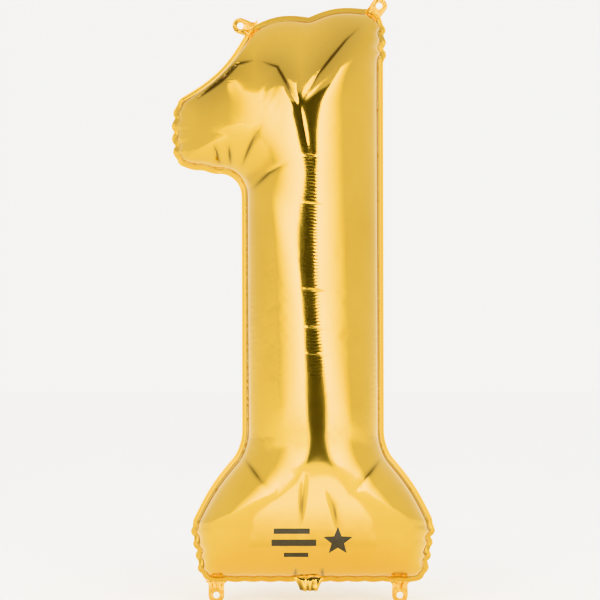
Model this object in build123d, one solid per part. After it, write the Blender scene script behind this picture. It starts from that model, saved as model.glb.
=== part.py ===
from build123d import *
import math
import os

# Foil number balloon, numeral one, 34-inch class, filled.
#
# Two sheets of metallised film lie face to face and are welded together round a flat band.
# Gas holds them apart as a tall round stem, a wide pillow-shaped foot and a flag that leans
# down to one side. Four tongues of the welded film, each with a punched hole, stand out of the
# corners for hanging. A flat neck in the middle of the foot holds a self-sealing valve: two
# clear films that lie against each other and run up inside. Below the neck the filling tail is
# folded back behind the foot.
#
# Frame: millimetres, +X to the right as the numeral is read, +Y to the back, +Z up. The weld
# lies in the plane y = 0. The origin is under the middle of the whole outline, level with the
# tips of the lower tabs. The films are drawn thicker than they are, so that they have a wall.

os.makedirs("parts", exist_ok=True)

# ---- Films and weld ------------------------------------------------------------------------
film_wall = 0.5           # one metallised film as drawn
valve_wall = 0.2          # one clear valve film as drawn
weld_width = 6.0          # flat welded band outside the gas space

# ---- The filled body, measured at the inner edge of the weld ---------------------------------
body_height = 789.0       # bottom weld to the top weld, on the stem axis
stem_radius = 94.0        # the stem is a round tube
foot_half_width = 162.0   # the foot at its widest
foot_seam_half = 146.0    # half of the bottom weld
foot_height = 200.0       # bottom weld to where the stem is round
crown_height = 270.0      # length over which the stem closes to the top weld
crown_left = 77.0         # stem axis to each end of the top weld
crown_right = 69.0
crown_tilt = 6.5          # degrees, the top weld rises to the right
flag_reach = 193.0        # stem axis to the weld at the flag's end
flag_end_height = 71.0    # length of the weld at the flag's end
flag_end_drop = 161.0     # top weld down to the middle of the flag's end
flag_shoulder_drop = 30.0   # top weld down to where the flag's upper edge meets the crown
flag_sag = 12.0           # the flag's lower edge sinks this far from its end to the stem
armpit_radius = 42.0      # round inner corner under the flag
flag_depth = 75.0         # half depth of the flag on the stem axis, where it starts
flag_root_half = 70.0     # half height of the flag there, deep inside the stem
flag_root_drop = 225.0    # top weld down to the flag's middle there

# ---- Hanging tabs --------------------------------------------------------------------------
tab_width = 22.0
tab_length = 30.0         # from the edge of the weld to the tip
tab_hole_radius = 5.0
tab_stub = 4.0            # part of that length which stays with the weld, up to the crease
tab_lower_left_inset = 9.0      # end of the bottom weld to the middle of each lower tab
tab_lower_right_inset = 23.0
crease_gap = 0.3          # clearance at each tab's crease

# ---- Neck, valve and filling tail --------------------------------------------------------------
neck_offset = -6.0        # middle of the neck, from the stem axis
neck_width = 40.0         # at the weld
neck_length = 9.0         # below the edge of the weld
fold_width = 30.0         # where the tail folds
tail_length = 60.0        # fold to mouth
tail_mouth_width = 38.0
tail_lean = 44.0          # degrees from straight up, when it is folded back
tail_gap = 2.0            # open bend between the end of the neck and the tail
valve_width = 24.0
valve_rise = 105.0        # from the bottom weld up into the gas
valve_inlet = 12.0        # from the bottom weld down into the neck

# ---- Places that follow from the sizes -----------------------------------------------------------
edge_z = tab_length                          # outer edge of the bottom weld
weld_z = edge_z + weld_width                 # inner edge of the bottom weld
top_z = weld_z + body_height                 # inner edge of the top weld, on the stem axis
crown_z = top_z - crown_height               # the stem is round up to here
axis_x = (flag_reach - foot_half_width) / 2  # stem axis, with the outline's middle at x = 0
neck_x = axis_x + neck_offset
neck_end_z = edge_z - neck_length
slit = 2 * film_wall                         # half depth of the filled shape along a weld
beyond = 2 * body_height                     # size of a block that holds everything

foot_shape = (            # share of the foot's height, of its swell, and of the stem's depth
    (0.04, 0.82, 0.13),
    (0.12, 0.86, 0.31),
    (0.25, 0.92, 0.50),
    (0.37, 1.00, 0.65),
    (0.50, 0.92, 0.77),
    (0.62, 0.68, 0.84),
    (0.76, 0.36, 0.90),
    (0.88, 0.12, 0.95),
    (1.00, 0.00, 1.00),
)
crown_shape = (           # share of the crown's height, then how far each side has drawn in
    (0.00, 0.00, 0.00),
    (0.22, 0.10, 0.02),
    (0.45, 0.25, 0.05),
    (0.65, 0.38, 0.09),
    (0.82, 0.52, 0.13),
    (0.94, 0.65, 0.17),
)


def stem_stations(inset):
    """Sections up the stem: level, reach to the left and right, half depth and tilt."""
    end = 3 * inset
    seam = foot_seam_half - end
    stations = [(weld_z + end, seam, seam, slit - inset, 0.0)]
    swell = foot_half_width - stem_radius
    for height, width, depth in foot_shape:
        side = stem_radius + swell * width - inset
        level = weld_z + foot_height * height
        stations.append((level, side, side, stem_radius * depth - inset, 0.0))
    for height, left_share, right_share in crown_shape:
        left = stem_radius + (crown_left - stem_radius) * left_share - inset
        right = stem_radius + (crown_right - stem_radius) * right_share - inset
        depth = stem_radius * (1 - height**1.2) - inset
        stations.append(
            (crown_z + crown_height * height, left, right, depth, crown_tilt * height**2)
        )
    stations.append((top_z - end, crown_left - end, crown_right - end, slit - inset, crown_tilt))
    return stations


def flag_stations(inset):
    """Sections out along the flag: reach to the left, lower and upper edge and half depth."""
    end = 3 * inset
    end_low = top_z - flag_end_drop - flag_end_height / 2
    end_high = end_low + flag_end_height
    shoulder = top_z - flag_shoulder_drop
    root_low = top_z - flag_root_drop - flag_root_half + inset
    root_high = top_z - flag_root_drop + flag_root_half - inset
    armpit_reach = stem_radius + armpit_radius
    rest = flag_reach - armpit_reach
    reaches = [crown_left]
    reaches += [stem_radius + armpit_radius * share for share in (0.0, 0.1, 0.3, 0.6, 1.0)]
    reaches += [armpit_reach + rest * share for share in (0.4, 0.75, 0.93)]
    stations = [(0.0, root_low, root_high, flag_depth - inset)]
    for reach in reaches:
        along = (flag_reach - reach) / (flag_reach - crown_left)
        round_off = min(armpit_radius, max(0.0, armpit_reach - reach))
        arc = armpit_radius - math.sqrt(armpit_radius**2 - round_off**2)
        low = end_low - flag_sag * along - arc + inset
        high = end_high + (shoulder - end_high) * along - inset
        depth = flag_depth * (1 - (reach / flag_reach)**2) - inset
        stations.append((reach, low, high, depth))
    stations.append((flag_reach - end, end_low + end, end_high - end, slit - inset))
    return stations


def stem_end(station, side):
    """Where a section up the stem meets the weld: side -1 is its left end, 1 its right."""
    level, left, right, _, tilt = station
    reach = side * (left if side < 0 else right)
    turn = math.radians(tilt)
    return Vector(axis_x + reach * math.cos(turn), 0, level + reach * math.sin(turn))


def stem_section(level, left, right, half_depth, tilt):
    """An ellipse across the stem."""
    turn = math.radians(tilt)
    place = Plane(
        origin=(axis_x, 0, level),
        x_dir=(math.cos(turn), 0, math.sin(turn)),
        z_dir=(-math.sin(turn), 0, math.cos(turn)),
    )
    return place * Pos((right - left) / 2, 0) * Ellipse((left + right) / 2, half_depth)


def flag_section(reach, low, high, half_depth):
    """An upright lens across the flag."""
    x = axis_x - reach
    middle = (low + high) / 2
    front = ThreePointArc((x, 0, low), (x, -half_depth, middle), (x, 0, high))
    back = ThreePointArc((x, 0, high), (x, half_depth, middle), (x, 0, low))
    return make_face(front + back)


def filled_shape(inset):
    """Everything inside the outer faces of the films, drawn in all round by an inset."""
    stem = loft([stem_section(*station) for station in stem_stations(inset)], ruled=True)
    flag = loft([flag_section(*station) for station in flag_stations(inset)], ruled=True)
    return stem + flag


def filled_outline():
    """The filled shape cut by the weld plane, as a face."""
    stem = stem_stations(0)
    flag = flag_stations(0)
    stem_corners = [stem_end(station, 1) for station in stem]
    stem_corners += [stem_end(station, -1) for station in reversed(stem)]
    flag_corners = [(axis_x - reach, 0, high) for reach, _, high, _ in flag]
    flag_corners += [(axis_x - reach, 0, low) for reach, low, _, _ in reversed(flag)]
    stem_face = make_face(Polyline(*stem_corners, close=True))
    return (stem_face + make_face(Polyline(*flag_corners, close=True))).face()


def plate(face, near, far):
    """A face that lies in the weld plane, as a plate from one y to another."""
    return Pos(0, near, 0) * extrude(face, amount=far - near, dir=(0, 1, 0))


def upright_quad(middle_x, low_z, high_z, low_width, high_width):
    """A four-sided face in the weld plane, symmetrical about an upright line."""
    corners = [
        (middle_x - low_width / 2, 0, low_z),
        (middle_x + low_width / 2, 0, low_z),
        (middle_x + high_width / 2, 0, high_z),
        (middle_x - high_width / 2, 0, high_z),
    ]
    return make_face(Polyline(*corners, close=True))


# ---- Where the tabs stand --------------------------------------------------------------------
def crown_tab(side):
    """Root and direction of an upper tab, which stands off the crown's slanting corner."""
    below, top = stem_stations(0)[-2:]
    low = stem_end(below, side)
    high = stem_end(top, side)
    outward = (high - low).normalized().cross(Vector(0, -side, 0))
    root = (low + high) / 2 + outward * weld_width
    return root.X, root.Z, math.degrees(math.atan2(outward.Z, outward.X))


tabs = {
    "hang_tab_upper_left": crown_tab(-1),
    "hang_tab_upper_right": crown_tab(1),
    "hang_tab_lower_left": (axis_x - foot_seam_half + tab_lower_left_inset, edge_z, 270.0),
    "hang_tab_lower_right": (axis_x + foot_seam_half - tab_lower_right_inset, edge_z, 270.0),
}


def tab_plane(x, z, angle):
    """A plane in the weld whose own x axis points along a tab, from its root on the weld."""
    turn = math.radians(angle)
    return Plane(origin=(x, 0, z), x_dir=(math.cos(turn), 0, math.sin(turn)), z_dir=(0, 1, 0))


def tab_stub_face(place):
    """The root of a tab that stays with the films, from well inside the weld to the crease."""
    inside = 2 * weld_width
    return place * Pos((tab_stub - inside) / 2, 0) * Rectangle(tab_stub + inside, tab_width)


def hang_tab(place):
    """A tongue of two welded films with a punched hole and a round edge on its crease."""
    crease = tab_stub + crease_gap + film_wall
    tip = tab_length - tab_width / 2
    tongue = Pos((crease + tip) / 2, 0) * Rectangle(tip - crease, tab_width)
    tongue += Pos(tip, 0) * Circle(tab_width / 2)
    tongue &= Pos((crease + tab_length) / 2, 0) * Rectangle(tab_length - crease, tab_width)
    tongue -= Pos(tip, 0) * Circle(tab_hole_radius)
    flat = plate((place * tongue).face(), -film_wall, film_wall)
    edge = place * Pos(crease, 0) * Rot(X=90) * Cylinder(film_wall, tab_width)
    return flat + edge


# ---- The two metallised films ------------------------------------------------------------------
outer_shape = filled_shape(0)
gas_space = filled_shape(film_wall)
band = offset(filled_outline(), amount=weld_width, kind=Kind.ARC).face()
neck = upright_quad(neck_x, neck_end_z, weld_z + slit, fold_width, neck_width)
stubs = [tab_stub_face(tab_plane(*spot)) for spot in tabs.values()]


def metallised_film(side):
    """One film: its dome, its half of the weld and neck, and its ply of the four tab roots."""
    half_space = Pos(0, side * beyond / 2, body_height / 2) * Box(beyond, beyond, beyond)
    dome = outer_shape & half_space
    near, far = sorted((0.0, side * film_wall))
    flat = plate(band, near, far) + plate(neck, near, far)
    for stub in stubs:
        flat += plate(stub, near, far)
    return dome + flat - gas_space


# ---- The self-sealing valve and the filling tail ---------------------------------------------------
def valve_ply(side):
    """One clear film of the valve, flat against the other from the neck up into the gas."""
    near, far = sorted((0.0, side * valve_wall))
    strip = upright_quad(
        neck_x, weld_z - valve_inlet, weld_z + valve_rise, valve_width, valve_width
    )
    return plate(strip, near, far)


def tail_ply(side):
    """One film of the filling tail, hanging straight down from its fold at the origin."""
    near, far = sorted((0.0, side * film_wall))
    tongue = upright_quad(0, -tail_length, 0, tail_mouth_width, fold_width)
    ply = plate(tongue, near, far)
    if side > 0:
        return ply
    bead = Rot(Y=90) * Cylinder(film_wall, fold_width)
    return ply + (bead - plate(tongue, 0, film_wall))


valve = {"valve_front_film": valve_ply(-1), "valve_rear_film": valve_ply(1)}
films = {
    "front_film": metallised_film(-1) - valve["valve_front_film"],
    "rear_film": metallised_film(1) - valve["valve_rear_film"],
}

fold_z = neck_end_z - tail_gap
folded_back = Pos(neck_x, 0, fold_z) * Rot(X=180.0 - tail_lean)
tail = {
    "tail_inner_film": folded_back * tail_ply(1),
    "tail_outer_film": folded_back * tail_ply(-1),
}
hang_tabs = {name: hang_tab(tab_plane(*spot)) for name, spot in tabs.items()}

for name, solid in {**films, **valve, **tail, **hang_tabs}.items():
    export_step(solid, f"parts/{name}.step")
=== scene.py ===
import math

import bpy
import numpy as np
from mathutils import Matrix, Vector, noise
from mathutils.geometry import delaunay_2d_cdt


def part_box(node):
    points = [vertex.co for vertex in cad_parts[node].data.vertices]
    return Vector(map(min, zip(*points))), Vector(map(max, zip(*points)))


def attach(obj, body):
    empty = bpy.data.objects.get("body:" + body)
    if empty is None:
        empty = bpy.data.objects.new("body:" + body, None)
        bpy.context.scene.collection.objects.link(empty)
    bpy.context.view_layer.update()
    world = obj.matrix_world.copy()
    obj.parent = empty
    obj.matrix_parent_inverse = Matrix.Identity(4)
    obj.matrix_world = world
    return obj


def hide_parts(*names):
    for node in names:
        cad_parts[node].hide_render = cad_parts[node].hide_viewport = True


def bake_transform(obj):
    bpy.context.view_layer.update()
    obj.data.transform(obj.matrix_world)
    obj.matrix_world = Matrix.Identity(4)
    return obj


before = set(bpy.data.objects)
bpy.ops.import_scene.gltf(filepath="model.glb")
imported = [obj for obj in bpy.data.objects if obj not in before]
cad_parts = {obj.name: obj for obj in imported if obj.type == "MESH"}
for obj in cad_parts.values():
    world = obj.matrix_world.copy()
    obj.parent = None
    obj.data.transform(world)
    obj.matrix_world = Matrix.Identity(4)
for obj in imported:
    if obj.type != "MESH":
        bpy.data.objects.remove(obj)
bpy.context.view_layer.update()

bpy.ops.object.select_all(action="DESELECT")


# ----------------------------------------------------------------------- camera
# The camera stands level in front of the balloon, far enough away to flatten it, and takes in
# a square about as tall as the balloon with its tabs.
view_side = 0.850
view_distance = 3.0
view_across = -0.003
view_height = 0.429
camera_data = bpy.data.cameras.new("camera")
camera_data.sensor_width = 36.0
camera_data.lens = camera_data.sensor_width * view_distance / view_side
camera = bpy.data.objects.new("camera", camera_data)
camera.location = (view_across, -view_distance, view_height)
camera.rotation_euler = (math.radians(90), 0, 0)
bpy.context.scene.collection.objects.link(camera)
bpy.context.scene.camera = camera


# --------------------------------------------------------- front and rear film
# The envelope is two sheets of metallised film, cut to one flat outline, laid face to face and
# heat-welded in a narrow band round the edge. Gas then domes them: the straight edges draw in,
# the ends pucker into scallops, and the film creases where it has to turn a corner.
# Each row is a corner of the filled outline on its way round, in metres from the stem's axis and
# the bottom edge: where it is, how round, and the scallops, their height and the outward bow of
# the edge that leads on to the next corner.
neck_left_of_axis = 0.006
neck_below_edge = 0.009
valve_low, valve_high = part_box("valve_front_film")
film_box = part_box("front_film")
axis_x = (valve_low[0] + valve_high[0]) / 2 + neck_left_of_axis
edge_z = film_box[0][2] + neck_below_edge
weld_width = 0.006
film_thickness = 0.00025
film_corners = (
    (-0.155, 0.001, 0.012, 12, 0.0015, 0.000),
    (0.156, 0.001, 0.012, 4, 0.0050, 0.000),
    (0.170, 0.088, 0.018, 0, 0.0, 0.004),
    (0.100, 0.194, 0.070, 0, 0.0, 0.000),
    (0.099, 0.738, 0.010, 3, 0.0050, 0.000),
    (0.097, 0.815, 0.022, 2, 0.0070, 0.000),
    (-0.088, 0.787, 0.010, 0, 0.0, -0.012),
    (-0.192, 0.680, 0.014, 4, 0.0045, 0.004),
    (-0.192, 0.590, 0.010, 2, 0.0020, 0.000),
    (-0.101, 0.573, 0.032, 0, 0.0, 0.000),
    (-0.100, 0.194, 0.070, 0, 0.0, 0.004),
    (-0.171, 0.086, 0.018, 4, 0.0050, 0.000),
)
# How far in from each edge the film reaches its full depth, and how round it is on the way.
film_reach = (0.165, 0.110, 0.100, 0.094, 0.094, 0.135, 0.028, 0.150, 0.130, 0.094, 0.100, 0.110)
film_roundness = (1.65, 1.8, 2.0, 2.0, 2.0, 1.45, 2.2, 1.6, 1.9, 2.0, 2.0, 1.8)


def rounded_outline(points, steps=12):
    """An outline through rounded corners, closed, and how many corners round each point is."""
    path, place = [], []
    for i, (x, z, radius) in enumerate(points):
        corner = np.array((x, z))
        before = np.array(points[i - 1][:2]) - corner
        after = np.array(points[(i + 1) % len(points)][:2]) - corner
        before /= np.linalg.norm(before)
        after /= np.linalg.norm(after)
        half = math.acos(float(before @ after)) / 2
        middle = before + after
        centre = corner + middle / np.linalg.norm(middle) * radius / math.sin(half)
        first = corner + before * radius / math.tan(half) - centre
        last = corner + after * radius / math.tan(half) - centre
        start = math.atan2(first[1], first[0])
        sweep = (math.atan2(last[1], last[0]) - start + math.pi) % (2 * math.pi) - math.pi
        for j in range(steps + 1):
            turn = start + sweep * j / steps
            path.append(centre + radius * np.array((math.cos(turn), math.sin(turn))))
            place.append(i + (j / steps - 0.5) * 0.001)
    return np.array(path + path[:1]), np.array(place + [place[0] + len(points)])


def moved_outward(path, amount):
    """A closed anticlockwise path moved away from its inside by an amount at each point."""
    ahead = np.roll(path, -1, 0) - np.roll(path, 1, 0)
    ahead /= np.linalg.norm(ahead, axis=1)[:, None]
    return path + np.stack([ahead[:, 1], -ahead[:, 0]], 1) * np.reshape(amount, (-1, 1))


def inside(points, path):
    """Which points lie inside a closed path."""
    x, z = points[:, 0], points[:, 1]
    crossed = np.zeros(len(points), bool)
    for (x0, z0), (x1, z1) in zip(path, np.roll(path, -1, 0)):
        spans = (z0 > z) != (z1 > z)
        crossed ^= spans & (x < (x1 - x0) * (z - z0) / (z1 - z0 + 1e-30) + x0)
    return crossed


def path_distance(points, path):
    """Distance from each point to a closed path."""
    nearest = np.full(len(points), 1e9)
    for a, b in zip(path, np.roll(path, -1, 0)):
        along = np.clip(((points - a) @ (b - a)) / ((b - a) @ (b - a)), 0, 1)
        gap = np.linalg.norm(points - (a + along[:, None] * (b - a)), axis=1)
        nearest = np.minimum(nearest, gap)
    return nearest


def lattice_sheet(rims, pitch, even_rows=0):
    """A flat sheet of even triangles inside the first rim and outside the other rims, with some
    rows of it following the first rim."""
    low, high = rims[0].min(0), rims[0].max(0)
    rows = np.arange(low[1], high[1], pitch * math.sqrt(0.75))
    columns = np.arange(low[0], high[0], pitch)
    points = np.array([(x + pitch / 2 * (j % 2), z) for j, z in enumerate(rows) for x in columns])
    points = points[inside(points, rims[0])]
    edges, first = [], 0
    for rim in rims:
        if first:
            points = points[~inside(points, rim)]
        clear = 0.8 * even_rows + 0.6 if not first else 0.6
        points = points[path_distance(points, rim) > clear * pitch]
        edges += [(first + i, first + (i + 1) % len(rim)) for i in range(len(rim))]
        first += len(rim)
    rows = [moved_outward(rims[0], -0.8 * pitch * (i + 1)) for i in range(even_rows)]
    everything = [Vector(point) for point in np.vstack(list(rims) + rows + [points])]
    places, _, faces = delaunay_2d_cdt(everything, edges, [], 1, 1e-7)[:3]
    places = np.array([tuple(point) for point in places])
    middles = np.array([places[list(face)].mean(0) for face in faces])
    kept = inside(middles, rims[0])
    for rim in rims[1:]:
        kept &= ~inside(middles, rim)
    return places, [tuple(face) for face, keep in zip(faces, kept) if keep]


film_pitch = 0.0049
corner_path, corner_place = rounded_outline([row[0:3] for row in film_corners])
travel = np.linalg.norm(np.diff(corner_path, axis=0), axis=1)
travel = np.concatenate([[0], np.cumsum(travel)])
stops = np.linspace(0, travel[-1], int(travel[-1] / film_pitch), endpoint=False)
film_edge = np.stack([np.interp(stops, travel, corner_path[:, k]) for k in (0, 1)], 1)
place = np.interp(stops, travel, corner_place)
side = np.floor(place).astype(int) % len(film_corners)
share = place - np.floor(place)
scallops, scallop_height, bow = np.array([film_corners[i][3:6] for i in side]).T
wave = np.abs(np.sin(np.pi * scallops * share))
film_edge = moved_outward(film_edge, wave * scallop_height + bow * np.sin(np.pi * share))
film_weld = moved_outward(film_edge, -weld_width)
pucker = 0.5 * scallop_height * np.sin(np.pi * scallops * share)
# The outer side of the weld curls back a little, except at the neck.
edge_curl = 0.0022
neck_flat_half = 0.018
curl_run_in = 0.010
foot_edge_top = 0.020
beside_neck = np.abs(film_edge[:, 0] + neck_left_of_axis) - neck_flat_half
curl_share = np.where(film_edge[:, 1] < foot_edge_top, np.clip(beside_neck / curl_run_in, 0, 1), 1.0)
curl = curl_share * edge_curl

# Both sheets start domed, each part of them only as deep as its distance from every edge allows.
# The cloth's own size is this dome a little enlarged, and not the flat sheets it is cut from. The
# simulation under pressure then finds how the spare film near the edges puckers.
film_depth = 0.094
spare_dome = 1.04
flag_fall = 0.34
film_places, film_faces = lattice_sheet([film_weld], film_pitch, even_rows=2)
rim_count = len(film_weld)
count = len(film_places)
sharpness = np.interp(film_places[:, 1], (0.08, 0.17), (8, 24))
crowding = np.zeros(count)
for i, (reach, roundness) in enumerate(zip(film_reach, film_roundness)):
    stretch = film_weld[(side == i) | (np.roll(side, 1) == i)]
    nearest = np.full(count, 1e9)
    for a, b in zip(stretch[:-1], stretch[1:]):
        if np.linalg.norm(b - a) < 3 * film_pitch:
            along = np.clip(((film_places - a) @ (b - a)) / ((b - a) @ (b - a)), 0, 1)
            gap = np.linalg.norm(film_places - (a + along[:, None] * (b - a)), axis=1)
            nearest = np.minimum(nearest, gap)
    share_in = np.clip(nearest / reach, 1e-6, 1)
    rise = (1 - (1 - share_in) ** roundness) ** (1 / roundness)
    crowding += rise ** -sharpness
dome = film_depth * spare_dome * crowding ** (-1 / sharpness)
# The flag falls away towards its end.
flag_share = np.clip((-0.012 - film_places[:, 0]) / 0.18, 0, 1)
dome *= 1 - flag_fall * flag_share * np.interp(film_places[:, 1], (0.56, 0.63), (0, 1))
dome[:rim_count] = 0
rim_y = np.zeros(count)
rim_y[:rim_count] = pucker
rear_number = np.concatenate([np.arange(rim_count), np.arange(count, 2 * count - rim_count)])
edge_first = 2 * count - rim_count
start_places = np.vstack([
    np.stack([film_places[:, 0], rim_y - dome, film_places[:, 1]], 1),
    np.stack([film_places[:, 0], dome, film_places[:, 1]], 1)[rim_count:],
    np.stack([film_edge[:, 0], pucker + curl, film_edge[:, 1]], 1),
])
spare_places = start_places.copy()
spare_places[:, 0] = np.interp(
    start_places[:, 0], (-0.2, -0.09, 0.09, 0.18), (-0.206, -0.091, 0.091, 0.182))
spare_places[:, 2] = np.interp(
    start_places[:, 2], (0.0, 0.17, 0.58, 0.82), (-0.003, 0.17, 0.58, 0.828))
after = (np.arange(rim_count) + 1) % rim_count
band = [(i, edge_first + i, edge_first + j, j) for i, j in enumerate(after)]
front_faces = list(film_faces)
rear_faces = [tuple(rear_number[list(face)][::-1]) for face in film_faces]
bag_mesh = bpy.data.meshes.new("bag")
bag_mesh.from_pydata(start_places.tolist(), [], front_faces + rear_faces + band)
bag = bpy.data.objects.new("bag", bag_mesh)
bpy.context.scene.collection.objects.link(bag)
bag.shape_key_add(name="filled")
spare_key = bag.shape_key_add(name="spare")
spare_key.data.foreach_set("co", spare_places.ravel())
# The weld is held still, and only the film inside it moves.
welded = list(range(rim_count)) + list(range(edge_first, edge_first + rim_count))
bag.vertex_groups.new(name="welded").add(welded, 1.0, "REPLACE")
bag.vertex_groups.new(name="gas").add(list(range(edge_first)), 1.0, "REPLACE")
cloth = bag.modifiers.new("film", "CLOTH")
film = cloth.settings
film.quality = 5
film.mass = 0.02
film.air_damping = 1.0
film.tension_stiffness = film.compression_stiffness = 60
film.shear_stiffness = 40
film.bending_stiffness = 0.05
film.tension_damping = film.compression_damping = film.shear_damping = 5
film.bending_damping = 0.5
film.use_pressure = True
film.uniform_pressure_force = 6
film.vertex_group_pressure = "gas"
film.vertex_group_mass = "welded"
film.rest_shape_key = spare_key
film.effector_weights.gravity = 0
film_frames = 20
bpy.context.scene.frame_end = film_frames
cloth.point_cache.frame_end = film_frames
for frame_number in range(1, film_frames + 1):
    bpy.context.scene.frame_set(frame_number)
filled_bag = bag.evaluated_get(bpy.context.evaluated_depsgraph_get())
filled = np.zeros(3 * len(start_places))
filled_bag.data.vertices.foreach_get("co", filled)
filled = filled.reshape(-1, 3)
bpy.data.objects.remove(bag)

# The ridge of the stem leans from one side to the other on its way up.
lean = np.interp(filled[:, 2], (0.10, 0.16, 0.67, 0.76), (0.000, 0.012, -0.018, 0.000))
filled[:, 0] += lean * np.minimum(np.abs(filled[:, 1]) / film_depth, 1) ** 2

# Creases pressed into the film: half width, depth, how dark the shade painted along the crease is,
# then where it runs.
film_creases = (
    (0.011, 0.0022, 1.7, (-0.021, 0.660), (0.007, 0.711), (0.046, 0.761), (0.082, 0.797)),
    (0.010, 0.0022, 1.7, (-0.018, 0.658), (-0.036, 0.696), (-0.050, 0.722), (-0.088, 0.737)),
    (0.009, 0.0022, 1.5, (-0.076, 0.734), (-0.104, 0.728), (-0.130, 0.710)),
    (0.0145, 0.0040, 2.8, (-0.180, 0.669), (-0.127, 0.705), (-0.084, 0.746)),
    (0.012, 0.0008, 0.9, (-0.021, 0.685), (-0.014, 0.640), (-0.004, 0.590)),
    (0.010, 0.0016, 0.9, (-0.140, 0.622), (-0.129, 0.584)),
    (0.010, 0.0016, 0.9, (-0.118, 0.622), (-0.115, 0.582)),
    (0.010, 0.0022, 1.0, (-0.073, 0.645), (-0.090, 0.608), (-0.104, 0.576)),
    (0.010, 0.0016, 0.9, (-0.034, 0.590), (-0.062, 0.574), (-0.090, 0.548)),
    (0.012, 0.0012, 0.9, (-0.100, 0.182), (-0.080, 0.158), (-0.062, 0.136)),
    (0.012, 0.0012, 1.0, (0.098, 0.182), (0.076, 0.158), (0.056, 0.132)),
    (0.012, 0.0026, 1.0, (-0.012, 0.166), (-0.016, 0.120), (-0.019, 0.066)),
    (0.012, 0.0026, 1.0, (0.018, 0.146), (0.029, 0.114), (0.037, 0.066)),
    (0.008, 0.0030, 0.7, (-0.026, 0.002), (-0.025, 0.014), (-0.024, 0.028)),
    (0.008, 0.0030, 0.7, (0.014, 0.002), (0.013, 0.014), (0.012, 0.028)),
)
# Stretches of film combed into fine ripples: half width, then where each one runs.
combed_folds = (
    (0.016, (-0.010, 0.650), (-0.004, 0.600), (0.006, 0.300)),
    (0.012, (-0.178, 0.670), (-0.127, 0.703), (-0.084, 0.744)),
)


def fold_share(x, z, half_width, points):
    """1 along a fold, falling to 0 at its half width and to a quarter at its two ends."""
    points = np.array(points)
    steps = np.linalg.norm(np.diff(points, axis=0), axis=1)
    walked = np.concatenate([[0], np.cumsum(steps)])
    nearest = np.full(len(x), 1e9)
    reached = np.zeros(len(x))
    for a, b, start, step in zip(points[:-1], points[1:], walked, steps):
        along = np.clip(((x - a[0]) * (b[0] - a[0]) + (z - a[1]) * (b[1] - a[1])) / step**2, 0, 1)
        gap = np.hypot(x - a[0] - along * (b[0] - a[0]), z - a[1] - along * (b[1] - a[1]))
        reached = np.where(gap < nearest, start + along * step, reached)
        nearest = np.minimum(nearest, gap)
    ends = np.sin(np.pi * np.clip(reached / walked[-1], 0.02, 0.98)) ** 0.5
    return np.clip(1 - nearest / half_width, 0, 1) * ends


def use_only(obj):
    """Selects one object and makes it the active one."""
    bpy.ops.object.select_all(action="DESELECT")
    obj.select_set(True)
    bpy.context.view_layer.objects.active = obj


def new_piece(name, places, faces):
    """A mesh object from places and faces, with its origin at the world's."""
    mesh = bpy.data.meshes.new(name)
    mesh.from_pydata(np.asarray(places).tolist(), [], faces)
    piece = bpy.data.objects.new(name, mesh)
    bpy.context.scene.collection.objects.link(piece)
    use_only(piece)
    return piece


def vertex_places(piece):
    """Where a mesh's vertices are."""
    places = np.zeros(3 * len(piece.data.vertices))
    piece.data.vertices.foreach_get("co", places)
    return places.reshape(-1, 3)


def edit_selection(piece, wanted):
    """In edit mode, selects the vertices whose places are wanted, and no others."""
    bpy.ops.mesh.select_all(action="DESELECT")
    bpy.ops.object.mode_set(mode="OBJECT")
    chosen = wanted(vertex_places(piece))
    piece.data.vertices.foreach_set("select", chosen)
    bpy.ops.object.mode_set(mode="EDIT")


def give_thickness(piece, thickness, offset):
    """Turns a sheet into a closed film."""
    use_only(piece)
    bpy.ops.object.modifier_add(type="SOLIDIFY")
    piece.modifiers["Solidify"].thickness = thickness
    piece.modifiers["Solidify"].offset = offset
    bpy.ops.object.modifier_apply(modifier="Solidify")
    bpy.ops.object.shade_smooth_by_angle(angle=math.radians(60))


cross_lines = (0.357, 0.393, 0.445, 0.564, 0.629)
cross_line_half = 0.0016
cross_low, cross_high = 0.3, 0.7


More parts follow.
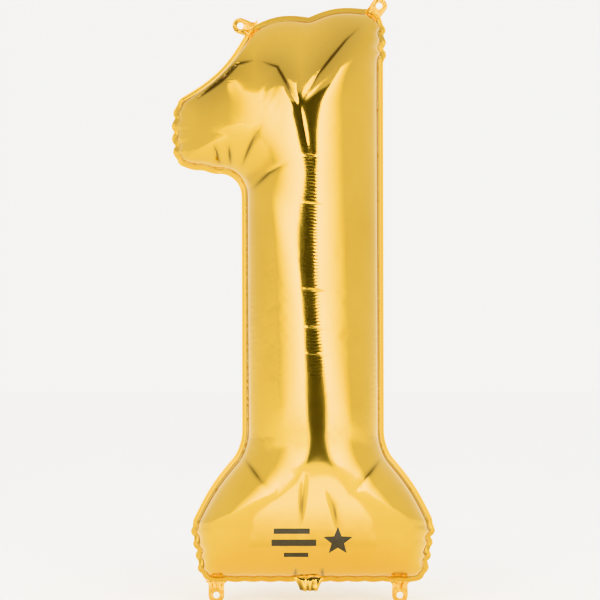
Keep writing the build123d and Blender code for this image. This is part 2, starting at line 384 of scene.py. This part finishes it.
def foil_material(name, colour, roughness):
    """Metallised film: a bright metal under a clear layer, with soft dents, combed ripples and
    a few thin lines across the ridge, at the heights in cross_lines, and shade painted dark brown along
    creases."""
    material = bpy.data.materials.new(name)
    material.use_nodes = True
    nodes = material.node_tree.nodes
    link = material.node_tree.links.new
    surface = nodes["Principled BSDF"]
    surface.inputs["Metallic"].default_value = 1.0
    surface.inputs["Coat Weight"].default_value = 0.35
    surface.inputs["Coat Roughness"].default_value = 0.12
    spot = nodes.new("ShaderNodeTexCoord")
    patches = nodes.new("ShaderNodeTexNoise")
    patches.inputs["Scale"].default_value = 11.0
    patches.inputs["Detail"].default_value = 4.0
    link(spot.outputs["Object"], patches.inputs["Vector"])
    tint = nodes.new("ShaderNodeMix")
    tint.data_type = "RGBA"
    tint.inputs["A"].default_value = colour
    tint.inputs["B"].default_value = (colour[0] * 0.86, colour[1] * 0.78, colour[2] * 0.55, 1)
    link(patches.outputs["Fac"], tint.inputs["Factor"])
    welded = nodes.new("ShaderNodeAttribute")
    welded.attribute_name = "weld"
    seam = nodes.new("ShaderNodeMix")
    seam.data_type = "RGBA"
    seam.inputs["B"].default_value = (colour[0] * 0.80, colour[1] * 0.74, colour[2] * 0.6, 1)
    link(welded.outputs["Fac"], seam.inputs["Factor"])
    link(tint.outputs["Result"], seam.inputs["A"])
    # Painted shade: the fold attribute mixes the colour towards dark brown, along creases and over the
    # tail's pleats.
    folded = nodes.new("ShaderNodeAttribute")
    folded.attribute_name = "fold"
    painted_shade = nodes.new("ShaderNodeMix")
    painted_shade.data_type = "RGBA"
    painted_shade.inputs["B"].default_value = (0.09, 0.045, 0.008, 1)
    link(folded.outputs["Fac"], painted_shade.inputs["Factor"])
    link(seam.outputs["Result"], painted_shade.inputs["A"])
    link(painted_shade.outputs["Result"], surface.inputs["Base Color"])
    rough = nodes.new("ShaderNodeMapRange")
    rough.inputs["To Min"].default_value = roughness * 0.7
    rough.inputs["To Max"].default_value = roughness * 1.5
    link(patches.outputs["Fac"], rough.inputs["Value"])
    link(rough.outputs["Result"], surface.inputs["Roughness"])
    dents = nodes.new("ShaderNodeTexNoise")
    dents.inputs["Scale"].default_value = 26.0
    dents.inputs["Detail"].default_value = 2.0
    link(spot.outputs["Object"], dents.inputs["Vector"])
    dented = nodes.new("ShaderNodeBump")
    dented.inputs["Strength"].default_value = 0.18
    dented.inputs["Distance"].default_value = 0.0014
    link(dents.outputs["Fac"], dented.inputs["Height"])
    comb = nodes.new("ShaderNodeTexWave")
    comb.bands_direction = "Z"
    comb.inputs["Scale"].default_value = 70.0
    comb.inputs["Distortion"].default_value = 2.5
    comb.inputs["Detail"].default_value = 2.0
    comb.inputs["Detail Scale"].default_value = 0.6
    link(spot.outputs["Object"], comb.inputs["Vector"])
    combed = nodes.new("ShaderNodeAttribute")
    combed.attribute_name = "comb"
    axes = nodes.new("ShaderNodeSeparateXYZ")
    link(spot.outputs["Object"], axes.inputs["Vector"])
    slant = nodes.new("ShaderNodeMath")
    slant.operation = "MULTIPLY_ADD"
    slant.inputs[1].default_value = 0.10
    link(axes.outputs["X"], slant.inputs[0])
    link(axes.outputs["Z"], slant.inputs[2])
    level = nodes.new("ShaderNodeMapRange")
    level.inputs["From Min"].default_value = cross_low
    level.inputs["From Max"].default_value = cross_high
    link(slant.outputs["Value"], level.inputs["Value"])
    lines = nodes.new("ShaderNodeValToRGB")
    lines.color_ramp.elements[0].color = (0, 0, 0, 1)
    lines.color_ramp.elements[1].color = (0, 0, 0, 1)
    for line_z in cross_lines:
        for aside, bright in ((-cross_line_half, 0), (0, 1), (cross_line_half, 0)):
            stop = lines.color_ramp.elements.new((line_z + aside - cross_low) / 0.4)
            stop.color = (bright, bright, bright, 1)
    link(level.outputs["Result"], lines.inputs["Fac"])
    across_lines = nodes.new("ShaderNodeMath")
    across_lines.operation = "MULTIPLY_ADD"
    across_lines.inputs[1].default_value = 4.0
    link(lines.outputs["Color"], across_lines.inputs[0])
    link(comb.outputs["Fac"], across_lines.inputs[2])
    depth = nodes.new("ShaderNodeMath")
    depth.operation = "MULTIPLY"
    link(across_lines.outputs["Value"], depth.inputs[0])
    link(combed.outputs["Fac"], depth.inputs[1])
    ripples = nodes.new("ShaderNodeBump")
    ripples.inputs["Strength"].default_value = 0.55
    ripples.inputs["Distance"].default_value = 0.0006
    link(depth.outputs["Value"], ripples.inputs["Height"])
    link(dented.outputs["Normal"], ripples.inputs["Normal"])
    link(ripples.outputs["Normal"], surface.inputs["Normal"])
    return material


gold_colour = (0.85, 0.57, 0.13, 1)
gold_roughness = 0.11
gold_film = foil_material("gold film", gold_colour, gold_roughness)
crease_refined = 0.62
height_full = 0.010
# Painted shade along the creases: the width of its dark core, the crease strength beyond which a wider soft
# shade is painted beside it, and that shade's half width and strength.
painted_line_width = 0.0024
strong_crease = 1.6
shade_half_width = 0.055
shade_strength = 0.36
weld_fade = 0.0012
for name, facing, faces in (("front", -1, front_faces), ("rear", 1, rear_faces)):
    flange = band if facing < 0 else [face[::-1] for face in band]
    used = sorted({number for face in faces + flange for number in face})
    renumbered = {number: i for i, number in enumerate(used)}
    faces = [tuple(renumbered[number] for number in face) for face in faces + flange]
    foil = new_piece(name + "_foil", filled[used], faces)
    bpy.ops.object.mode_set(mode="EDIT")
    bpy.ops.mesh.select_all(action="SELECT")
    bpy.ops.mesh.quads_convert_to_tris()
    bpy.ops.mesh.subdivide(number_cuts=1, smoothness=0.6)
    bpy.ops.mesh.select_mode(type="VERT")
    edit_selection(foil, lambda spots: (
        path_distance(spots[:, [0, 2]], film_edge) > weld_width * 1.1)
        & inside(spots[:, [0, 2]], film_edge))
    bpy.ops.mesh.vertices_smooth(factor=0.5, repeat=4)
    edit_selection(foil, lambda spots: np.max([
        fold_share(spots[:, 0], spots[:, 2], row[0], row[3:]) for row in film_creases], 0) > crease_refined)
    bpy.ops.mesh.subdivide(number_cuts=1, smoothness=0.6)
    bpy.ops.object.mode_set(mode="OBJECT")
    places = vertex_places(foil)
    x, z = places[:, 0].copy(), places[:, 2].copy()
    height = np.clip(np.abs(places[:, 1]) / height_full, 0, 1)
    # Painted shade: a narrow dark core along each crease and a wider soft shade beside the strongest ones,
    # kept in the fold attribute that darkens the film's colour.
    painted_crease_shade = np.zeros(len(places))
    pressed = np.zeros(len(places))
    for half_width, depth, painted_darkness, *points in film_creases:
        share = fold_share(x, z, half_width, points) * height
        pressed = np.maximum(pressed, depth * share ** 2)
        painted_line = painted_darkness * share ** (half_width / painted_line_width)
        painted_crease_shade = np.maximum(painted_crease_shade, np.minimum(painted_line, 1))
        if painted_darkness > strong_crease:
            shade = shade_strength * fold_share(x, z, shade_half_width, points) ** 1.6 * height
            painted_crease_shade = np.maximum(painted_crease_shade, shade)
    places[:, 1] -= facing * pressed
    foil.data.attributes.new("fold", "FLOAT", "POINT").data.foreach_set("value", painted_crease_shade)
    comb_share = np.zeros(len(places))
    for half_width, *points in combed_folds:
        comb_share = np.maximum(comb_share, fold_share(x, z, half_width, points) * height)
    foil.data.attributes.new("comb", "FLOAT", "POINT").data.foreach_set("value", comb_share)
    from_rim = path_distance(places[:, [0, 2]], film_edge)
    weld_share = np.clip((weld_width + weld_fade - from_rim) / weld_fade, 0, 1) * (1 - height)
    foil.data.attributes.new("weld", "FLOAT", "POINT").data.foreach_set("value", weld_share)
    places += (axis_x, 0, edge_z)
    foil.data.vertices.foreach_set("co", places.ravel())
    give_thickness(foil, film_thickness, 1)
    foil.data.materials.append(gold_film)
    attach(foil, "envelope")
    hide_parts(name + "_film")

# -------------------------------------------------------------------- hang tabs
# Four short tongues of the same two films, left standing out of the weld and punched with a
# round hole for a ribbon. Each one is crumpled at its root, where it hinges on the weld. The
# roots run on past the weld and cut the front and rear film, where they show as small patches.
tab_half_width = 0.011
tab_reach = 0.030
tab_hole = 0.019
tab_hole_radius = 0.005
tab_thickness = 0.0005
tab_pitch = 0.0011
tab_wrinkle_run = 0.009
tab_film = foil_material("tab film", (0.80, 0.50, 0.12, 1), 0.22)
for tab_number, (name, root_x, root_z, angle) in enumerate((
    ("hang_tab_upper_left", -0.06962, 0.81053, 159.10),
    ("hang_tab_upper_right", 0.09795, 0.83015, 54.07),
    ("hang_tab_lower_left", -0.1215, 0.030, 270.0),
    ("hang_tab_lower_right", 0.1385, 0.030, 270.0),
)):
    turn = np.linspace(-math.pi / 2, math.pi / 2, 25)
    tip = tab_reach - tab_half_width
    tongue = [(-0.0012, 0.0165), (-0.0012, -0.0165), (0.0008, -0.0138), (0.0030, -0.0120)]
    tongue += [(0.006, -tab_half_width), (0.011, -tab_half_width), (0.015, -tab_half_width)]
    tongue += [(tip + tab_half_width * math.cos(a), tab_half_width * math.sin(a)) for a in turn]
    tongue += [(0.015, tab_half_width), (0.011, tab_half_width), (0.006, tab_half_width)]
    tongue += [(0.0030, 0.0120), (0.0008, 0.0138)]
    around = np.linspace(0, 2 * math.pi, 28, endpoint=False)
    hole = tab_hole_radius * np.stack([np.cos(around), np.sin(around)], 1) + (tab_hole, 0)
    flat, faces = lattice_sheet([np.array(tongue), hole], tab_pitch)
    out, across = flat[:, 0], flat[:, 1]
    wrinkled = np.exp(-np.maximum(out, 0) / tab_wrinkle_run) * np.clip(out / 0.003, 0, 1)
    lift = np.array([
        0.0022 * noise.noise(Vector((9 * u, 420 * v, tab_number * 5.3)))
        + 0.0008 * noise.noise(Vector((160 * u, 260 * v, tab_number * 3.1))) for u, v in flat])
    lift = lift * (0.25 + 1.6 * wrinkled) * np.clip(out / 0.004, 0, 1)
    lift += edge_curl * np.clip(1 - out / 0.008, 0, 1)
    across = across * (1 - 0.10 * wrinkled)
    cos, sin = math.cos(math.radians(angle)), math.sin(math.radians(angle))
    places = np.stack([
        root_x + out * cos - across * sin, lift, root_z + out * sin + across * cos], 1)
    tab = new_piece(name + "_piece", places, [face[::-1] for face in faces])
    give_thickness(tab, tab_thickness, 0)
    tab.data.materials.append(tab_film)
    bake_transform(tab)
    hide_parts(name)

# ---------------------------------------------------------------- filling tail
# Both films run on below the bottom weld as a gathered neck. Once the balloon is full the neck
# is folded up behind the foot, and its open end is where the gas went in. The root cuts the
# film just above the weld, and the two plies pass through each other beside the fold when the
# tail is turned fully forward.
neck_x = axis_x - neck_left_of_axis
fold_z = 0.019
tail_length = 0.060
tail_lean = math.radians(44)
bend_radius = 0.0022
bend_top = 0.0207
tail_steps, tail_columns = 72, 40
tail_gather_length = 0.011
tail_pleat = 0.0008
bend_length = bend_radius * (math.pi - tail_lean)
straight_in = edge_z + weld_width - bend_top
path_length = straight_in + bend_length + tail_length
for name, offset in (("tail_outer_film", 1.0), ("tail_inner_film", -1.0)):
    places, painted_shade = [], []
    for i in range(tail_steps + 1):
        walked = path_length * i / tail_steps
        if walked < straight_in:
            y, z, heading = 0.0, edge_z + weld_width - walked, 0.0
        elif walked < straight_in + bend_length:
            heading = (walked - straight_in) / bend_radius
            y = bend_radius * (1 - math.cos(heading))
            z = bend_top - bend_radius * math.sin(heading)
        else:
            heading = math.pi - tail_lean
            rest = walked - straight_in - bend_length
            y = bend_radius * (1 - math.cos(heading)) + rest * math.sin(heading)
            z = bend_top - bend_radius * math.sin(heading) - rest * math.cos(heading)
        past_fold = walked - straight_in
        half_width = np.interp(
            past_fold, (-0.0153, -0.006, 0.0, 0.008, 0.030, tail_length + bend_length),
            (0.0205, 0.0165, 0.0135, 0.0125, 0.0160, 0.0190))
        gathered = math.exp(-(past_fold / tail_gather_length) ** 2)
        plump = 0.0006 + 0.0009 * gathered + 0.0010 * max(0, past_fold / tail_length) ** 2
        for j in range(tail_columns + 1):
            v = 2 * j / tail_columns - 1
            ruffle = math.sin(v * 8 + 2.0 * math.sin(v * 3))
            pleat = tail_pleat * gathered * ruffle
            # Painted shade over the gathered pleats, following their ruffle, kept in the fold attribute.
            painted_shade.append(gathered * (0.45 - 0.4 * ruffle))
            pleat += 0.0006 * noise.noise(Vector((v * 4, past_fold * 90, 2.0)))
            off = (offset * plump * (1 - v**4) + pleat * (1 - v**8)) * min(1, walked / 0.004)
            off += offset * 0.00035
            side_in = 0.0015 * gathered * math.cos(v * 5)
            places.append((
                neck_x + v * (half_width - side_in),
                y - off * math.cos(heading), z - off * math.sin(heading)))
    row = tail_columns + 1
    faces = [(i * row + j, i * row + j + 1, (i + 1) * row + j + 1, (i + 1) * row + j)
             for i in range(tail_steps) for j in range(tail_columns)]
    if offset > 0:
        faces = [face[::-1] for face in faces]
    tail = new_piece(name + "_piece", places, faces)
    tail.data.attributes.new("fold", "FLOAT", "POINT").data.foreach_set("value", painted_shade)
    give_thickness(tail, film_thickness, 0)
    tail.data.materials.append(gold_film)
    middle = Vector((neck_x, bend_radius, fold_z))
    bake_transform(tail)
    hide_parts(name)

# ----------------------------------------------------------------- valve films
# Two narrow plies of clear film, welded along their sides, start in the neck and reach up into
# the gas. They let gas in but not out. Their shape is the one in the frame.
clear_film = bpy.data.materials.new("clear film")
clear_film.use_nodes = True
clear_surface = clear_film.node_tree.nodes["Principled BSDF"]
clear_surface.inputs["Base Color"].default_value = (0.86, 0.88, 0.88, 1)
clear_surface.inputs["Roughness"].default_value = 0.2
clear_surface.inputs["Transmission Weight"].default_value = 0.8
for name in ("valve_front_film", "valve_rear_film"):
    valve = bpy.data.objects[name]
    valve.data.materials.clear()
    valve.data.materials.append(clear_film)

# --------------------------------------------------------------- printed marks
# Small print in dark ink lies low on the front film: here three plain bars and a star. Each mark
# is a thin patch laid on the film, and shares its slot, as there is no slot for ink.
ink = bpy.data.materials.new("dark ink")
ink.use_nodes = True
ink_surface = ink.node_tree.nodes["Principled BSDF"]
ink_surface.inputs["Base Color"].default_value = (0.045, 0.035, 0.015, 1)
ink_surface.inputs["Roughness"].default_value = 0.35
star_radii = (0.021, 0.009)
star = [(star_radii[i % 2] * math.sin(math.pi * i / 5), star_radii[i % 2] * math.cos(math.pi * i / 5))
        for i in range(10)][::-1]
ink_pitch = 0.002
ink_thickness = 0.0002
ink_lift = 0.0003
ink_start_y = -0.15
bar = [(-0.5, -0.5), (0.5, -0.5), (0.5, 0.5), (-0.5, 0.5)]
for name, outline, middle, size in (
    ("printed_bar_top", bar, (-0.030, 0.079), (0.050, 0.0075)),
    ("printed_bar_middle", bar, (-0.027, 0.062), (0.062, 0.0090)),
    ("printed_bar_bottom", bar, (-0.024, 0.044), (0.034, 0.0060)),
    ("printed_star", star, (0.034, 0.064), (1, 1)),
):
    corners = np.array(outline) * size
    closed = np.vstack([corners, corners[:1]])
    rim = np.vstack([a + (b - a) * t for a, b in zip(closed[:-1], closed[1:])
                     for t in np.linspace(0, 1, max(3, int(np.linalg.norm(b - a) / ink_pitch)), False)])
    flat, faces = lattice_sheet([rim], ink_pitch)
    places = np.stack([
        flat[:, 0] + middle[0] + axis_x,
        np.full(len(flat), ink_start_y),
        flat[:, 1] + middle[1] + edge_z], 1)
    mark = new_piece(name, places, faces)
    bpy.ops.object.modifier_add(type="SHRINKWRAP")
    wrap = mark.modifiers["Shrinkwrap"]
    wrap.target = bpy.data.objects["front_foil"]
    wrap.wrap_method = "PROJECT"
    wrap.use_project_y = True
    wrap.use_negative_direction = False
    wrap.use_positive_direction = True
    wrap.offset = ink_lift
    bpy.ops.object.modifier_apply(modifier="Shrinkwrap")
    give_thickness(mark, ink_thickness, 0)
    mark.data.materials.append(ink)
    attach(mark, "envelope")

# ------------------------------------------------------------- floor and lights
# A pale plain floor and wall. Two tall glowing panels either side of the viewer fade outwards.
# The film mirrors a dark card between them, and a dark runner on the floor, as a narrow dark
# band. Panels, card, runner and the low glow before the foot can't be seen by the camera.
def stage_panel(name, size, location, rotation, colour, glow=0.0):
    """A plain rectangle that is part of the studio and not of the balloon."""
    bpy.ops.mesh.primitive_plane_add(size=1, location=location, rotation=rotation)
    panel = bpy.context.active_object
    panel.name = name
    panel.scale = (size[0], size[1], 1)
    material = bpy.data.materials.new(name)
    material.use_nodes = True
    surface = material.node_tree.nodes["Principled BSDF"]
    surface.inputs["Base Color"].default_value = colour
    surface.inputs["Roughness"].default_value = 0.85
    surface.inputs["Emission Strength"].default_value = glow
    panel.data.materials.append(material)
    return panel


def unseen(panel):
    """Leaves a panel to be mirrored only: no camera sees it and no shadow or bounce comes of it."""
    panel.visible_camera = False
    panel.visible_shadow = False
    panel.visible_diffuse = False


flat_down = (0, 0, 0)
upright = (math.pi / 2, 0, 0)
pale = (0.94, 0.94, 0.94, 1)
near_black = (0.012, 0.010, 0.006, 1)
stage_panel("floor", (24, 24), (0, 0, -0.0005), flat_down, pale, glow=0.1)
wall = stage_panel("wall", (24, 12), (0, 7.0, 5.9), upright, pale, glow=0.1)
wall.visible_glossy = False
card = stage_panel("dark_card", (1.6, 3.6), (0, -4.2, 0.45), upright, near_black)
runner = stage_panel("dark_runner", (1.0, 3.0), (0, -2.80, 0.0008), flat_down, near_black)
for corner in runner.data.vertices:
    corner.co.x *= 0.35 if corner.co.y > 0 else 1.5
low_glow = stage_panel(
    "low_glow", (0.20, 0.62), (0.015, -0.41, 0.0008), flat_down, (0.9, 0.9, 0.9, 1))
nodes = low_glow.active_material.node_tree.nodes
link = low_glow.active_material.node_tree.links.new
spot = nodes.new("ShaderNodeTexCoord")
axes = nodes.new("ShaderNodeSeparateXYZ")
link(spot.outputs["Object"], axes.inputs["Vector"])
fade = nodes.new("ShaderNodeMapRange")
fade.interpolation_type = "SMOOTHSTEP"
fade.inputs["From Min"].default_value = 0.5
fade.inputs["From Max"].default_value = 0.1
fade.inputs["To Max"].default_value = 2.6
link(axes.outputs["Y"], fade.inputs["Value"])
link(fade.outputs["Result"], nodes["Principled BSDF"].inputs["Emission Strength"])
for panel in (card, runner, low_glow):
    unseen(panel)
softbox_aim = Vector((0, 0, 0.43))
for across in (-1, 1):
    panel = stage_panel(
        "left_panel" if across < 0 else "right_panel", (3.6, 3.8), (across * 2.32, -2.6, 0.75),
        upright, (0, 0, 0, 1))
    unseen(panel)
    nodes = panel.active_material.node_tree.nodes
    link = panel.active_material.node_tree.links.new
    spot = nodes.new("ShaderNodeTexCoord")
    axes = nodes.new("ShaderNodeSeparateXYZ")
    link(spot.outputs["Object"], axes.inputs["Vector"])
    fade = nodes.new("ShaderNodeMapRange")
    fade.inputs["From Min"].default_value = -0.5 * across
    fade.inputs["From Max"].default_value = 0.5 * across
    fade.inputs["To Min"].default_value = 1.0
    fade.inputs["To Max"].default_value = 0.0
    steep = nodes.new("ShaderNodeMath")
    steep.operation = "POWER"
    steep.inputs[1].default_value = 3.0
    link(fade.outputs["Result"], steep.inputs[0])
    glow = nodes.new("ShaderNodeMath")
    glow.operation = "MULTIPLY_ADD"
    glow.inputs[1].default_value = 6.5
    glow.inputs[2].default_value = 0.95
    link(steep.outputs["Value"], glow.inputs[0])
    link(axes.outputs["X"], fade.inputs["Value"])
    surface = nodes["Principled BSDF"]
    surface.inputs["Emission Color"].default_value = (1, 0.985, 0.95, 1)
    link(glow.outputs["Value"], surface.inputs["Emission Strength"])
    bpy.ops.object.light_add(type="AREA", location=(across * 1.5, -2.6, 0.9))
    softbox = bpy.context.active_object
    softbox.name = "left_softbox" if across < 0 else "right_softbox"
    softbox.data.shape = "RECTANGLE"
    softbox.data.size = 1.6
    softbox.data.size_y = 2.4
    softbox.data.energy = 60
    softbox.visible_glossy = False
    aim = softbox_aim - softbox.location
    softbox.rotation_euler = aim.to_track_quat("-Z", "Y").to_euler()
sky = bpy.data.worlds.new("studio")
sky.use_nodes = True
sky.node_tree.nodes["Background"].inputs["Color"].default_value = (1.0, 0.99, 0.97, 1)
sky.node_tree.nodes["Background"].inputs["Strength"].default_value = 1.0
bpy.context.scene.world = sky
bpy.context.scene.view_settings.view_transform = "Khronos PBR Neutral"
